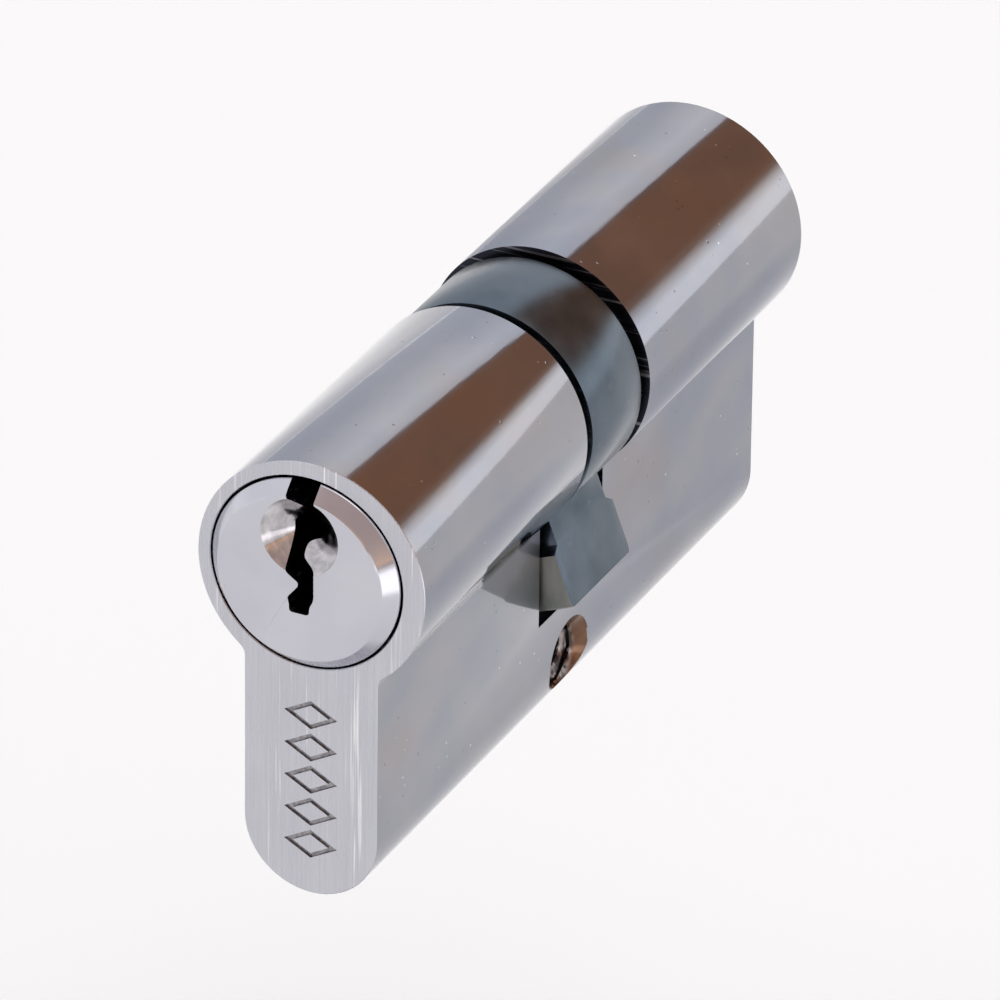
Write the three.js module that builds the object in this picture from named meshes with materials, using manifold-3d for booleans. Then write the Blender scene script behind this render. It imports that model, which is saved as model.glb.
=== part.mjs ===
// Double euro profile cylinder: a keyed plug at each end, and one cam between them.
// Millimetres. Origin on the axis of the round part, midway along the cam slot.
// +Y runs from the outer face to the inner face, +Z up; the flat web hangs below the round part.
import * as THREE from "three";
import { mergeVertices } from "three/addons/utils/BufferGeometryUtils.js";
import Module from "manifold-3d";

const wasm = await Module();
wasm.setup();

// ---- Driving dimensions: body ----
const OUTER_LENGTH = 30; // middle of the cam slot to the outer face
const INNER_LENGTH = 30; // middle of the cam slot to the inner face
const ROUND_RADIUS = 8.5;
const PROFILE_HEIGHT = 33; // top of the round part to the foot of the web
const WEB_WIDTH = 10;
const CAM_SLOT_WIDTH = 10;
const BORE_OFFSET_X = -0.38; // the bore lies a little off the middle of the round part
const BORE_OFFSET_Z = 0.14;

// ---- Driving dimensions: fixing screw hole, tapped M5 ----
const SCREW_HOLE_RADIUS = 2.1;
const SCREW_MOUTH_RADIUS = 2.95;
const SCREW_MOUTH_DEPTH = 0.7;
const SCREW_HOLE_ABOVE_FOOT = 4.5;

// ---- Driving dimensions: plugs ----
const PLUG_RADIUS = 6.5;
const PLUG_CLEARANCE = 0.05; // radial, in the bore and in the cam ring
const HEAD_OVERHANG = 0.55; // how much wider the head is than the plug
const HEAD_SEAT_DEPTH = 1.9;
const HEAD_CLEARANCE = 0.15;
const HEAD_PROUD = 1.05; // how far the flat of the head stands out of the body
const HEAD_CHAMFER = 0.92;
const ENTRY_RADIUS = 2.9; // cone that guides the key in
const ENTRY_FLOOR_RADIUS = 0.9;
const ENTRY_DEPTH = 1.7;
const ENTRY_RIM = 0.05; // left between the cone's mouth and the head's chamfer

// ---- Driving dimensions: keyway, measured from the plug's axis ----
const KEYWAY_WIDTH = 2.15;
const KEYWAY_FLOOR = -2.6;
const KEYWAY_TOE_WIDTH = 1.5;
const KEYWAY_TOE_HEIGHT = 1.2;
// Ribs along the keyway. side: -1 left, 1 right; height and z at the wall; reach into the keyway.
const WARDS = [
  { side: -1, z: 4.85, height: 2.3, tip: 0.8, reach: 1.08 },
  { side: -1, z: -0.4, height: 1.6, tip: 0.3, reach: 0.98 },
  { side: 1, z: 1.7, height: 2.0, tip: 0.8, reach: 1.18 },
];

// ---- Driving dimensions: cam ----
const CAM_RING_WALL = 1.5;
const CAM_SLOT_CLEARANCE = 0.6; // between the lever's tip and the floor of the slot
const LEVER_REACH = 15.6; // axis to tip
const LEVER_THICKNESS = 5;
const LEVER_LEAN = 21; // degrees from straight down, towards +X
const LEVER_SIDE_GAP = 0.4; // each side of the lever's wide end, in the slot
const LEVER_SHOULDER = 10.7; // axis to where the lever widens
const LEVER_SHOULDER_SLOPE = 0.5;
const LEVER_CORNER = 0.7;
const CAM_RING_GAP = 0.3; // between the ring and each retaining clip

// ---- Driving dimensions: retaining clips ----
const CLIP_THICKNESS = 0.8;
const CLIP_LIP = 1.1; // how far a clip stands out of its groove
const CLIP_GROOVE_DEPTH = 0.8;
const CLIP_CLEARANCE = 0.05;
const CLIP_OPENING = 70; // degrees

// ---- Driving dimensions: clutch ----
const CAM_WEB_THICKNESS = 1.8; // the wall inside the cam ring that a driver locks into
const DRIVER_WIDTH = 3;
const DRIVER_WALL = 1.4; // left in the plug round each end of a driver
const DRIVER_LENGTH = 3.35;
const DRIVER_CLEARANCE = 0.05;
const DRIVER_SLOT_SPARE = 0.25;
const CLUTCH_POCKET_RADIUS = 1.3;
const CLUTCH_POCKET_DEPTH = 1.4;
const CLUTCH_WIRE = 0.14; // radius of the spring wire
const CLUTCH_TURNS = 4;

// ---- Driving dimensions: pins ----
const PIN_COUNT = 5;
const PIN_RADIUS = 1.45;
const PIN_CLEARANCE = 0.05;
const KEY_PIN_FOOT_CHAMFER = 0.3; // these three are shares of the pin's radius
const KEY_PIN_POINT = 0.25;
const DRIVER_PIN_CHAMFER = 0.12;
const FIRST_PIN_FROM_FACE = 5.6;
const LAST_PIN_FROM_SLOT = 3.8;
const PLUG_PIN_HOLE_TOP = 1.5;
const SHEAR_GAP = 0.08; // each side of the plug's surface
const KEY_CUTS = [1.0, 2.5, 0.5, 2.0, 1.5]; // how deep the key is cut under each pin
const BLADE_SPACE = 0.1; // under the key's blade
const STACK_HEIGHT = 10.9; // key pin and driver pin together
const PIN_WIRE = 0.16; // radius of the spring wire
const PIN_TURNS = 6;
const SPRING_ROOM = 0.2; // between a coil and the wall round it
const SPRING_SPARE = 0.1; // at each end of a pin spring
const CHAMBER_PLUG_HEIGHT = 1.8;
const CHAMBER_PLUG_CLEARANCE = 0.02;
const CHAMBER_PLUG_INSET = 0.45;

// ---- Driving dimensions: ornament cut in the outer face of the web ----
const ORNAMENT_COUNT = 5;
const ORNAMENT_TOP = -9.6;
const ORNAMENT_PITCH = 2.5;
const ORNAMENT_WIDTH = 4;
const ORNAMENT_LINE = 0.32;
const ORNAMENT_DEPTH = 0.15;

// ---- Facets ----
const ROUND_SIDES = 48;
const SCREW_SIDES = 20;
const PIN_SIDES = 16;
const WIRE_SIDES = 4;
const WIRE_STEPS_PER_TURN = 8;
const ARC_STEP = 7.5; // degrees

// ---- Derived sizes ----
const BORE_RADIUS = PLUG_RADIUS + PLUG_CLEARANCE;
const HEAD_RADIUS = PLUG_RADIUS + HEAD_OVERHANG;
const ENTRY_HEIGHT = HEAD_RADIUS - HEAD_CHAMFER - ENTRY_RADIUS - ENTRY_RIM;
const CAM_RING_RADIUS = BORE_RADIUS + CAM_RING_WALL;
const CLIP_GROOVE_RADIUS = PLUG_RADIUS - CLIP_GROOVE_DEPTH;
const CLIP_RADIUS = PLUG_RADIUS + CLIP_LIP;
const DRIVER_RADIUS = PLUG_RADIUS - DRIVER_WALL;
const SLOT_HALF = CAM_SLOT_WIDTH / 2;
const CLIP_OUTER_Y = SLOT_HALF - CLIP_CLEARANCE;
const CLIP_INNER_Y = CLIP_OUTER_Y - CLIP_THICKNESS;
const CAM_RING_HALF = CLIP_INNER_Y - CAM_RING_GAP;
const PLUG_END = CAM_WEB_THICKNESS / 2 + CLIP_CLEARANCE;
const CHAMBER_RADIUS = PIN_RADIUS + PIN_CLEARANCE;
const PIN_SPRING = {
  radius: CHAMBER_RADIUS - SPRING_ROOM - PIN_WIRE,
  wire: PIN_WIRE,
  turns: PIN_TURNS,
};
const CLUTCH_SPRING = {
  radius: CLUTCH_POCKET_RADIUS - SPRING_ROOM - CLUTCH_WIRE,
  wire: CLUTCH_WIRE,
  turns: CLUTCH_TURNS,
};
const FOOT_Z = ROUND_RADIUS - PROFILE_HEIGHT;
const FOOT_RADIUS = WEB_WIDTH / 2;
const CHAMBER_FLOOR = FOOT_Z + CHAMBER_PLUG_INSET + CHAMBER_PLUG_HEIGHT - BORE_OFFSET_Z;
const REACH_PAST = 1; // how far a cutting tool runs past the surface it opens

// ---- Finishes ----
const FINISHES = {
  nickel: { color: 0xc9c8c6, roughness: 0.22, metalness: 1 },
  polished_nickel: { color: 0xd2d3d6, roughness: 0.12, metalness: 1 },
  sintered_steel: { color: 0x4f6068, roughness: 0.45, metalness: 1 },
  spring_steel: { color: 0x8c8e90, roughness: 0.3, metalness: 1 },
  brass: { color: 0xc9a24e, roughness: 0.3, metalness: 1 },
  nickel_silver: { color: 0xb9b6a8, roughness: 0.3, metalness: 1 },
  clutch_steel: { color: 0x9a9da0, roughness: 0.35, metalness: 1 },
};

const radians = THREE.MathUtils.degToRad;

/** Turns a closed three.js geometry into a solid. */
function solid(geometry) {
  const bare = new THREE.BufferGeometry();
  bare.setAttribute("position", geometry.getAttribute("position"));
  bare.setIndex(geometry.getIndex());
  const merged = mergeVertices(bare, 1e-4);
  const corners = merged.getIndex().array;
  const kept = [];
  for (let i = 0; i < corners.length; i += 3) {
    const [a, b, c] = corners.slice(i, i + 3);
    if (a !== b && b !== c && c !== a) kept.push(a, b, c);
  }
  const mesh = new wasm.Mesh({
    numProp: 3,
    vertProperties: new Float32Array(merged.getAttribute("position").array),
    triVerts: new Uint32Array(kept),
  });
  return new wasm.Manifold(mesh);
}

/** Turns a solid back into a named mesh with its own material. */
function part(name, shape, finish) {
  const { vertProperties, triVerts } = shape.getMesh();
  const geometry = new THREE.BufferGeometry();
  geometry.setAttribute("position", new THREE.BufferAttribute(vertProperties, 3));
  geometry.setIndex(new THREE.BufferAttribute(triVerts, 1));
  geometry.computeVertexNormals();
  const mesh = new THREE.Mesh(geometry, new THREE.MeshStandardMaterial(FINISHES[finish]));
  mesh.name = name;
  return mesh;
}

/** Points along an arc, both ends included; angles in degrees, counter-clockwise from +X. */
function arc(centreX, centreZ, radius, from, to) {
  const steps = Math.max(1, Math.round(Math.abs(to - from) / ARC_STEP));
  const points = [];
  for (let i = 0; i <= steps; i += 1) {
    const angle = radians(from + ((to - from) * i) / steps);
    points.push([centreX + radius * Math.cos(angle), centreZ + radius * Math.sin(angle)]);
  }
  return points;
}

/** Extrudes an outline of [x, z] points along Y. */
function alongY(outline, from, to, holes = []) {
  const shape = new THREE.Shape(outline.map(([x, z]) => new THREE.Vector2(x, z)));
  shape.holes = holes.map((hole) => new THREE.Path(hole.map(([x, z]) => new THREE.Vector2(x, z))));
  const geometry = new THREE.ExtrudeGeometry(shape, { depth: to - from, bevelEnabled: false });
  geometry.rotateX(Math.PI / 2);
  geometry.translate(0, to, 0);
  return solid(geometry);
}

/** Extrudes an outline of [y, z] points along X, centred on x = 0. */
function alongX(outline, width) {
  const shape = new THREE.Shape(outline.map(([y, z]) => new THREE.Vector2(y, z)));
  const geometry = new THREE.ExtrudeGeometry(shape, { depth: width, bevelEnabled: false });
  geometry.translate(0, 0, -width / 2);
  const toYZX = new THREE.Matrix4().makeBasis(
    new THREE.Vector3(0, 1, 0),
    new THREE.Vector3(0, 0, 1),
    new THREE.Vector3(1, 0, 0),
  );
  return solid(geometry.applyMatrix4(toYZX));
}

/** A round piece turned about Y from [radius, y] points, listed from low y to high y. */
function turnedAboutY(profile, sides) {
  const points = profile.map(([radius, y]) => new THREE.Vector2(radius, y));
  return solid(new THREE.LatheGeometry(points, sides));
}

/** A round piece turned about Z from [radius, z] points, listed from low z to high z. */
function turnedAboutZ(profile, sides) {
  const points = profile.map(([radius, z]) => new THREE.Vector2(radius, z));
  return solid(new THREE.LatheGeometry(points, sides).rotateX(Math.PI / 2));
}

/** A plain round rod or hole about Y. */
function rodY(radius, from, to, sides = ROUND_SIDES) {
  return turnedAboutY([[0, from], [radius, from], [radius, to], [0, to]], sides);
}

/** A plain round rod or hole about Z. */
function rodZ(radius, from, to) {
  return turnedAboutZ([[0, from], [radius, from], [radius, to], [0, to]], PIN_SIDES);
}

/** A coil of wire about Z. */
class Coil extends THREE.Curve {
  constructor({ radius, turns }, from, to) {
    super();
    Object.assign(this, { radius, turns, from, to });
  }

  getPoint(t, target = new THREE.Vector3()) {
    const angle = 2 * Math.PI * this.turns * t;
    const height = this.from + (this.to - this.from) * t;
    return target.set(this.radius * Math.cos(angle), this.radius * Math.sin(angle), height);
  }
}

/** A compression spring about Z that fills the height from low to high. */
function spring(size, low, high) {
  const section = [];
  for (let i = 0; i < WIRE_SIDES; i += 1) {
    const angle = (2 * Math.PI * i) / WIRE_SIDES;
    section.push(new THREE.Vector2(size.wire * Math.cos(angle), size.wire * Math.sin(angle)));
  }
  const geometry = new THREE.ExtrudeGeometry(new THREE.Shape(section), {
    steps: size.turns * WIRE_STEPS_PER_TURN,
    extrudePath: new Coil(size, low + size.wire, high - size.wire),
  });
  return solid(geometry);
}

// ---- Body ----

/** The outline of the whole profile, seen along Y. */
function profileOutline() {
  const join = THREE.MathUtils.radToDeg(Math.acos(FOOT_RADIUS / ROUND_RADIUS));
  return [
    ...arc(0, 0, ROUND_RADIUS, -join, 0),
    ...arc(0, 0, ROUND_RADIUS, 0, 180).slice(1),
    ...arc(0, 0, ROUND_RADIUS, 180, 180 + join).slice(1),
    ...arc(0, FOOT_Z + FOOT_RADIUS, FOOT_RADIUS, 180, 360),
  ];
}

/** Where each pin of one side stands, as distances from the middle of the cam slot. */
function pinPlaces(length) {
  const first = length - FIRST_PIN_FROM_FACE;
  const last = SLOT_HALF + LAST_PIN_FROM_SLOT;
  return KEY_CUTS.slice(0, PIN_COUNT).map((_, i) => first - ((first - last) * i) / (PIN_COUNT - 1));
}

/** What is cut from the body for one side's head and pins, about the bore's axis, outer side. */
function sideCutter(length) {
  const seat = length - HEAD_SEAT_DEPTH - CLIP_CLEARANCE;
  let cutter = rodY(HEAD_RADIUS + HEAD_CLEARANCE, -length - REACH_PAST, -seat);
  for (const place of pinPlaces(length)) {
    const chamber = rodZ(CHAMBER_RADIUS, FOOT_Z - REACH_PAST, -PLUG_RADIUS + REACH_PAST);
    cutter = cutter.add(chamber.translate([0, -place, 0]));
  }
  return cutter;
}

/** The cross hole for the fixing screw, countersunk at both mouths. */
function screwHole() {
  const half = FOOT_RADIUS;
  const beyond = half + SCREW_MOUTH_DEPTH;
  const flare = SCREW_MOUTH_RADIUS - SCREW_HOLE_RADIUS;
  const geometry = new THREE.LatheGeometry(
    [
      [0, -beyond],
      [SCREW_MOUTH_RADIUS + flare, -beyond],
      [SCREW_HOLE_RADIUS, SCREW_MOUTH_DEPTH - half],
      [SCREW_HOLE_RADIUS, half - SCREW_MOUTH_DEPTH],
      [SCREW_MOUTH_RADIUS + flare, beyond],
      [0, beyond],
    ].map(([radius, x]) => new THREE.Vector2(radius, x)),
    SCREW_SIDES,
  );
  geometry.rotateZ(-Math.PI / 2);
  return solid(geometry).translate([0, 0, FOOT_Z + SCREW_HOLE_ABOVE_FOOT]);
}

/** A column of plain diamonds, cut as lines into the outer face of the web. */
function ornament() {
  const diamond = (halfWidth, halfHeight, z) => [
    [halfWidth, z],
    [0, z + halfHeight],
    [-halfWidth, z],
    [0, z - halfHeight],
  ];
  const halfWidth = ORNAMENT_WIDTH / 2;
  const halfHeight = (ORNAMENT_PITCH - ORNAMENT_LINE) / 2;
  const inset = ORNAMENT_LINE * Math.hypot(halfWidth, halfHeight);
  const cuts = [];
  for (let i = 0; i < ORNAMENT_COUNT; i += 1) {
    const z = ORNAMENT_TOP - halfHeight - ORNAMENT_PITCH * i;
    const inner = diamond(halfWidth - inset / halfHeight, halfHeight - inset / halfWidth, z);
    cuts.push(
      alongY(
        diamond(halfWidth, halfHeight, z),
        -OUTER_LENGTH - REACH_PAST,
        -OUTER_LENGTH + ORNAMENT_DEPTH,
        [inner.reverse()],
      ),
    );
  }
  return cuts;
}

function bodySolid() {
  const slotRadius = LEVER_REACH + CAM_SLOT_CLEARANCE;
  const bore = rodY(BORE_RADIUS, -OUTER_LENGTH - REACH_PAST, INNER_LENGTH + REACH_PAST);
  const inBore = [
    bore,
    rodY(slotRadius, -SLOT_HALF, SLOT_HALF, 2 * ROUND_SIDES),
    sideCutter(OUTER_LENGTH),
    sideCutter(INNER_LENGTH).rotate([0, 0, 180]),
  ];
  let body = alongY(profileOutline(), -OUTER_LENGTH, INNER_LENGTH);
  for (const cutter of inBore) {
    body = body.subtract(cutter.translate([BORE_OFFSET_X, 0, BORE_OFFSET_Z]));
  }
  for (const cutter of [screwHole(), ...ornament()]) {
    body = body.subtract(cutter);
  }
  return body;
}

// ---- Plug and retaining clip, outer side, about the bore's axis ----

/** One wall of the keyway from its floor up, as [x, z] points. */
function keywayWall(side, top) {
  const wall = (side * KEYWAY_WIDTH) / 2;
  const toe = (side * KEYWAY_TOE_WIDTH) / 2;
  const points = [[toe, KEYWAY_FLOOR], [toe, KEYWAY_FLOOR + KEYWAY_TOE_HEIGHT / 2]];
  const wards = WARDS.filter((ward) => ward.side === side).sort((a, b) => a.z - b.z);
  if (side > 0) points.push([wall, KEYWAY_FLOOR + KEYWAY_TOE_HEIGHT]);
  for (const { z, height, tip, reach } of wards) {
    points.push([wall, z - height / 2]);
    points.push([wall - side * reach, z - tip / 2]);
    points.push([wall - side * reach, z + tip / 2]);
    points.push([wall, z + height / 2]);
  }
  points.push([wall, top]);
  return points;
}

function keywayOutline() {
  const top = HEAD_RADIUS + REACH_PAST;
  return [...keywayWall(1, top), ...keywayWall(-1, top).reverse()];
}

/** The bar shape that a driver has, and that its slots have with a clearance. */
function driverBar(clearance, from, to) {
  const radius = DRIVER_RADIUS + clearance;
  const half = DRIVER_WIDTH / 2 + clearance;
  const slab = alongY([[half, -radius], [half, radius], [-half, radius], [-half, -radius]], from, to);
  return slab.intersect(rodY(radius, from - REACH_PAST, to + REACH_PAST));
}

function plugSolid(length) {
  const face = -length - HEAD_PROUD;
  const headBack = -length + HEAD_SEAT_DEPTH;
  const grooveFrom = -CLIP_OUTER_Y - CLIP_CLEARANCE;
  const grooveTo = -CLIP_INNER_Y + CLIP_CLEARANCE;
  const turned = turnedAboutY(
    [
      [0, face],
      [HEAD_RADIUS - HEAD_CHAMFER, face],
      [HEAD_RADIUS, -length],
      [HEAD_RADIUS, headBack],
      [PLUG_RADIUS, headBack],
      [PLUG_RADIUS, grooveFrom],
      [CLIP_GROOVE_RADIUS, grooveFrom],
      [CLIP_GROOVE_RADIUS, grooveTo],
      [PLUG_RADIUS, grooveTo],
      [PLUG_RADIUS, -PLUG_END],
      [0, -PLUG_END],
    ],
    ROUND_SIDES,
  );
  const slotDepth = DRIVER_LENGTH + DRIVER_SLOT_SPARE;
  const entrySlope = (ENTRY_RADIUS - ENTRY_FLOOR_RADIUS) / ENTRY_DEPTH;
  const entry = turnedAboutY(
    [
      [0, face - REACH_PAST],
      [ENTRY_RADIUS + entrySlope * REACH_PAST, face - REACH_PAST],
      [ENTRY_FLOOR_RADIUS, face + ENTRY_DEPTH],
      [0, face + ENTRY_DEPTH],
    ],
    ROUND_SIDES,
  );
  let plug = turned
    .subtract(alongY(keywayOutline(), face - REACH_PAST, REACH_PAST))
    .subtract(driverBar(DRIVER_CLEARANCE, -PLUG_END - slotDepth, REACH_PAST))
    .subtract(entry.translate([0, 0, ENTRY_HEIGHT]));
  for (const place of pinPlaces(length)) {
    const hole = rodZ(CHAMBER_RADIUS, -PLUG_RADIUS - REACH_PAST, PLUG_PIN_HOLE_TOP);
    plug = plug.subtract(hole.translate([0, -place, 0]));
  }
  return plug;
}

function clipSolid() {
  const from = 90 + CLIP_OPENING / 2;
  const to = 450 - CLIP_OPENING / 2;
  const inner = CLIP_GROOVE_RADIUS + CLIP_CLEARANCE;
  const outline = [...arc(0, 0, CLIP_RADIUS, from, to), ...arc(0, 0, inner, to, from)];
  return alongY(outline, -CLIP_OUTER_Y, -CLIP_INNER_Y);
}

// ---- Cam ----

/** The lever, hanging straight down before it is turned to its lean. */
function leverSolid() {
  const wide = SLOT_HALF - LEVER_SIDE_GAP;
  const neck = CAM_RING_HALF;
  const root = -(BORE_RADIUS + CAM_RING_RADIUS) / 2;
  const outline = [
    [neck, root],
    [-neck, root],
    [-neck, -LEVER_SHOULDER],
    [-wide, -LEVER_SHOULDER - LEVER_SHOULDER_SLOPE],
    ...arc(-wide + LEVER_CORNER, -LEVER_REACH + LEVER_CORNER, LEVER_CORNER, 180, 270),
    ...arc(wide - LEVER_CORNER, -LEVER_REACH + LEVER_CORNER, LEVER_CORNER, 270, 360),
    [wide, -LEVER_SHOULDER - LEVER_SHOULDER_SLOPE],
    [neck, -LEVER_SHOULDER],
  ];
  const sweep = rodY(LEVER_REACH, -SLOT_HALF, SLOT_HALF, 2 * ROUND_SIDES);
  return alongX(outline, LEVER_THICKNESS).intersect(sweep);
}

function camSolid() {
  const webHalf = CAM_WEB_THICKNESS / 2;
  const bore = rodY(BORE_RADIUS, 0, CAM_RING_HALF + REACH_PAST);
  return rodY(CAM_RING_RADIUS, -CAM_RING_HALF, CAM_RING_HALF)
    .add(leverSolid().rotate([0, -LEVER_LEAN, 0]))
    .subtract(bore.translate([0, webHalf, 0]))
    .subtract(bore.rotate([0, 0, 180]).translate([0, -webHalf, 0]))
    .subtract(driverBar(DRIVER_CLEARANCE, -webHalf - REACH_PAST, webHalf + REACH_PAST));
}

// ---- Clutch ----

/** How far each driver stops short of the plane where it would leave the cam's wall. */
const DRIVER_STOP = CAM_WEB_THICKNESS / 2 - DRIVER_CLEARANCE;

function outerDriverSolid() {
  const front = DRIVER_STOP;
  const bar = driverBar(0, front - DRIVER_LENGTH, front);
  const pocket = rodY(CLUTCH_POCKET_RADIUS, front - CLUTCH_POCKET_DEPTH, front + REACH_PAST, PIN_SIDES);
  return bar.subtract(pocket);
}

function innerDriverSolid() {
  const front = DRIVER_STOP + 2 * DRIVER_CLEARANCE;
  const bar = driverBar(0, front, front + DRIVER_LENGTH);
  const pocket = rodY(CLUTCH_POCKET_RADIUS, front - REACH_PAST, front + CLUTCH_POCKET_DEPTH, PIN_SIDES);
  return bar.subtract(pocket);
}

function clutchSpringSolid() {
  const middle = DRIVER_STOP + DRIVER_CLEARANCE;
  const half = CLUTCH_POCKET_DEPTH;
  return spring(CLUTCH_SPRING, -half, half).rotate([-90, 0, 0]).translate([0, middle, 0]);
}

// ---- Pins, springs and chamber plugs, about the bore's axis ----

const KEY_PIN_FOOT = -(PLUG_RADIUS - SHEAR_GAP);
const DRIVER_PIN_TOP = -(PLUG_RADIUS + SHEAR_GAP);

function keyPinHeight(cut) {
  return KEYWAY_FLOOR + BLADE_SPACE + cut - KEY_PIN_FOOT;
}

function keyPinSolid(cut) {
  const height = keyPinHeight(cut);
  const tip = KEY_PIN_FOOT + height;
  const foot = KEY_PIN_FOOT_CHAMFER * PIN_RADIUS;
  const point = KEY_PIN_POINT * PIN_RADIUS;
  return turnedAboutZ(
    [
      [0, KEY_PIN_FOOT],
      [PIN_RADIUS - foot, KEY_PIN_FOOT],
      [PIN_RADIUS, KEY_PIN_FOOT + foot],
      [PIN_RADIUS, tip - PIN_RADIUS + point],
      [point, tip],
      [0, tip],
    ],
    PIN_SIDES,
  );
}

function driverPinFoot(cut) {
  return DRIVER_PIN_TOP - (STACK_HEIGHT - keyPinHeight(cut));
}

function driverPinSolid(cut) {
  const foot = driverPinFoot(cut);
  const edge = DRIVER_PIN_CHAMFER * PIN_RADIUS;
  return turnedAboutZ(
    [
      [0, foot],
      [PIN_RADIUS - edge, foot],
      [PIN_RADIUS, foot + edge],
      [PIN_RADIUS, DRIVER_PIN_TOP - edge],
      [PIN_RADIUS - edge, DRIVER_PIN_TOP],
      [0, DRIVER_PIN_TOP],
    ],
    PIN_SIDES,
  );
}

function pinSpringSolid(cut) {
  return spring(PIN_SPRING, CHAMBER_FLOOR + SPRING_SPARE, driverPinFoot(cut) - SPRING_SPARE);
}

function chamberPlugSolid() {
  const radius = CHAMBER_RADIUS - CHAMBER_PLUG_CLEARANCE;
  return rodZ(radius, CHAMBER_FLOOR - CHAMBER_PLUG_HEIGHT, CHAMBER_FLOOR);
}

// ---- Assembly ----

/** One side's plug, clip, pins, springs and chamber plugs, facing -Y. */
function side(name, length) {
  const group = new THREE.Group();
  group.add(part(`${name}_plug`, plugSolid(length), "polished_nickel"));
  group.add(part(`${name}_plug_clip`, clipSolid(), "spring_steel"));
  pinPlaces(length).forEach((place, i) => {
    const cut = KEY_CUTS[i];
    const stack = new THREE.Group();
    stack.position.y = -place;
    stack.add(part(`${name}_key_pin_${i + 1}`, keyPinSolid(cut), "brass"));
    stack.add(part(`${name}_driver_pin_${i + 1}`, driverPinSolid(cut), "nickel_silver"));
    stack.add(part(`${name}_pin_spring_${i + 1}`, pinSpringSolid(cut), "spring_steel"));
    stack.add(part(`${name}_chamber_plug_${i + 1}`, chamberPlugSolid(), "brass"));
    group.add(stack);
  });
  return group;
}

function euroCylinder() {
  const cylinder = new THREE.Group();
  cylinder.add(part("cylinder_body", bodySolid(), "nickel"));

  const works = new THREE.Group();
  works.position.set(BORE_OFFSET_X, 0, BORE_OFFSET_Z);
  works.add(part("cam", camSolid(), "sintered_steel"));
  works.add(part("outer_clutch_driver", outerDriverSolid(), "clutch_steel"));
  works.add(part("inner_clutch_driver", innerDriverSolid(), "clutch_steel"));
  works.add(part("clutch_spring", clutchSpringSolid(), "spring_steel"));
  works.add(side("outer", OUTER_LENGTH));
  const inner = side("inner", INNER_LENGTH);
  inner.rotation.z = Math.PI;
  works.add(inner);
  cylinder.add(works);
  return cylinder;
}

export default euroCylinder();
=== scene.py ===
import math

import bmesh
import bpy
from mathutils import Matrix, Vector


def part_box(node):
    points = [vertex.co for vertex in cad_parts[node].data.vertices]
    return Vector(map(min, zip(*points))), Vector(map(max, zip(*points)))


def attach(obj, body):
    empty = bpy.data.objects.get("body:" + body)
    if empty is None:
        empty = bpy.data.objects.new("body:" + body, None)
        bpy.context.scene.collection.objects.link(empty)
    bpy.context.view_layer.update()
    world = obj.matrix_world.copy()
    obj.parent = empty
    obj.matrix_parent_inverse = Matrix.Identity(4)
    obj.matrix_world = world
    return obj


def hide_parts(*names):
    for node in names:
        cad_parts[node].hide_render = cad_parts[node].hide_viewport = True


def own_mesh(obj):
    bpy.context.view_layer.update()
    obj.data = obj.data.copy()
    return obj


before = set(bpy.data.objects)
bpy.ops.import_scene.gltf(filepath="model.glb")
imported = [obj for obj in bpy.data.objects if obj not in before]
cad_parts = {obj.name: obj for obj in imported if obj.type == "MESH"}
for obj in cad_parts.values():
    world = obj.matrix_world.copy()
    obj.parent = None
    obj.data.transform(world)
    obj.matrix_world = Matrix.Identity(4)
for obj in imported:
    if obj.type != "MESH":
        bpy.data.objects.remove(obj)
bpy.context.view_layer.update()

MM = 0.001

# ---- Sizes, in millimetres; angles in degrees ----

# Body
LENGTH = 30.0  # middle of the cam slot to each face of the body
ROUND_R = 8.5
FOOT_Z = -24.5
WEB_HALF = 5.0
ROOT_R = 1.0  # hollow where the round part runs into the web
EDGE = 0.05  # broken edges of the body
SLOT_HALF = 5.0
SLOT_R = 16.2  # from the bore's axis
SLOT_EDGE = 0.07
BORE_X = -0.38
BORE_Z = 0.14
BORE_R = 6.55
BORE_FLARE = 0.06

# Plugs
PLUG_R = 6.5
PLUG_EDGE = 0.05
PLUG_END_EDGE = 0.2
MOUTH_EDGE = 0.035  # broken edges of the keyway and the key entry
HEAD_R = 7.05
HEAD_SEAT = 1.9
HEAD_GAP = 0.15
HEAD_PROUD = 1.05
HEAD_CHAMFER = 0.92
ENTRY_R = 2.9
ENTRY_FLOOR_R = 0.9
ENTRY_DEPTH = 1.7
ENTRY_Z = HEAD_R - HEAD_CHAMFER - ENTRY_R - 0.05
KEYWAY_HALF = 1.075
KEYWAY_FLOOR = -2.6
KEYWAY_ROUNDING = 0.32
TOE_HALF = 0.75
TOE_TOP = -1.4
WARDS = (  # side, height of its middle, height at the wall, height at the tip, reach
    (-1, 4.85, 2.3, 0.8, 1.08),
    (-1, -0.4, 1.6, 0.3, 0.98),
    (1, 1.7, 2.0, 0.8, 1.18),
)

# Retaining clips
CLIP_OUTER_Y = 4.95
CLIP_INNER_Y = 4.15
CLIP_R = 7.6
CLIP_GROOVE_R = 5.7
CLIP_GAP = 0.05
CLIP_OPENING = 70.0
CLIP_EDGE = 0.06

# Cam
RING_R = 8.36
RING_CENTRE = (0.0, 0.0, -0.17)  # the ring sits loose on the plugs
RING_HALF = 3.85
RING_FLARE = 0.15
CAM_WALL_HALF = 0.9
CAM_EDGE = 0.06
LEVER_R = 15.4
LEVER_HALF = 2.5
LEVER_LEAN = 21.0
LEVER_ROOT = 2.0  # how far the lever runs into the ring
LEVER_SHOULDER = 10.7  # where the lever gets wider than the ring, below the axis
PAD_HALF = 4.6
PAD_SLOPE = 0.5
PAD_CORNER = 0.75
PAD_OVERLAP = (0.5, 0.4)  # how far the pad runs into the lever, along Y and up

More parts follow.
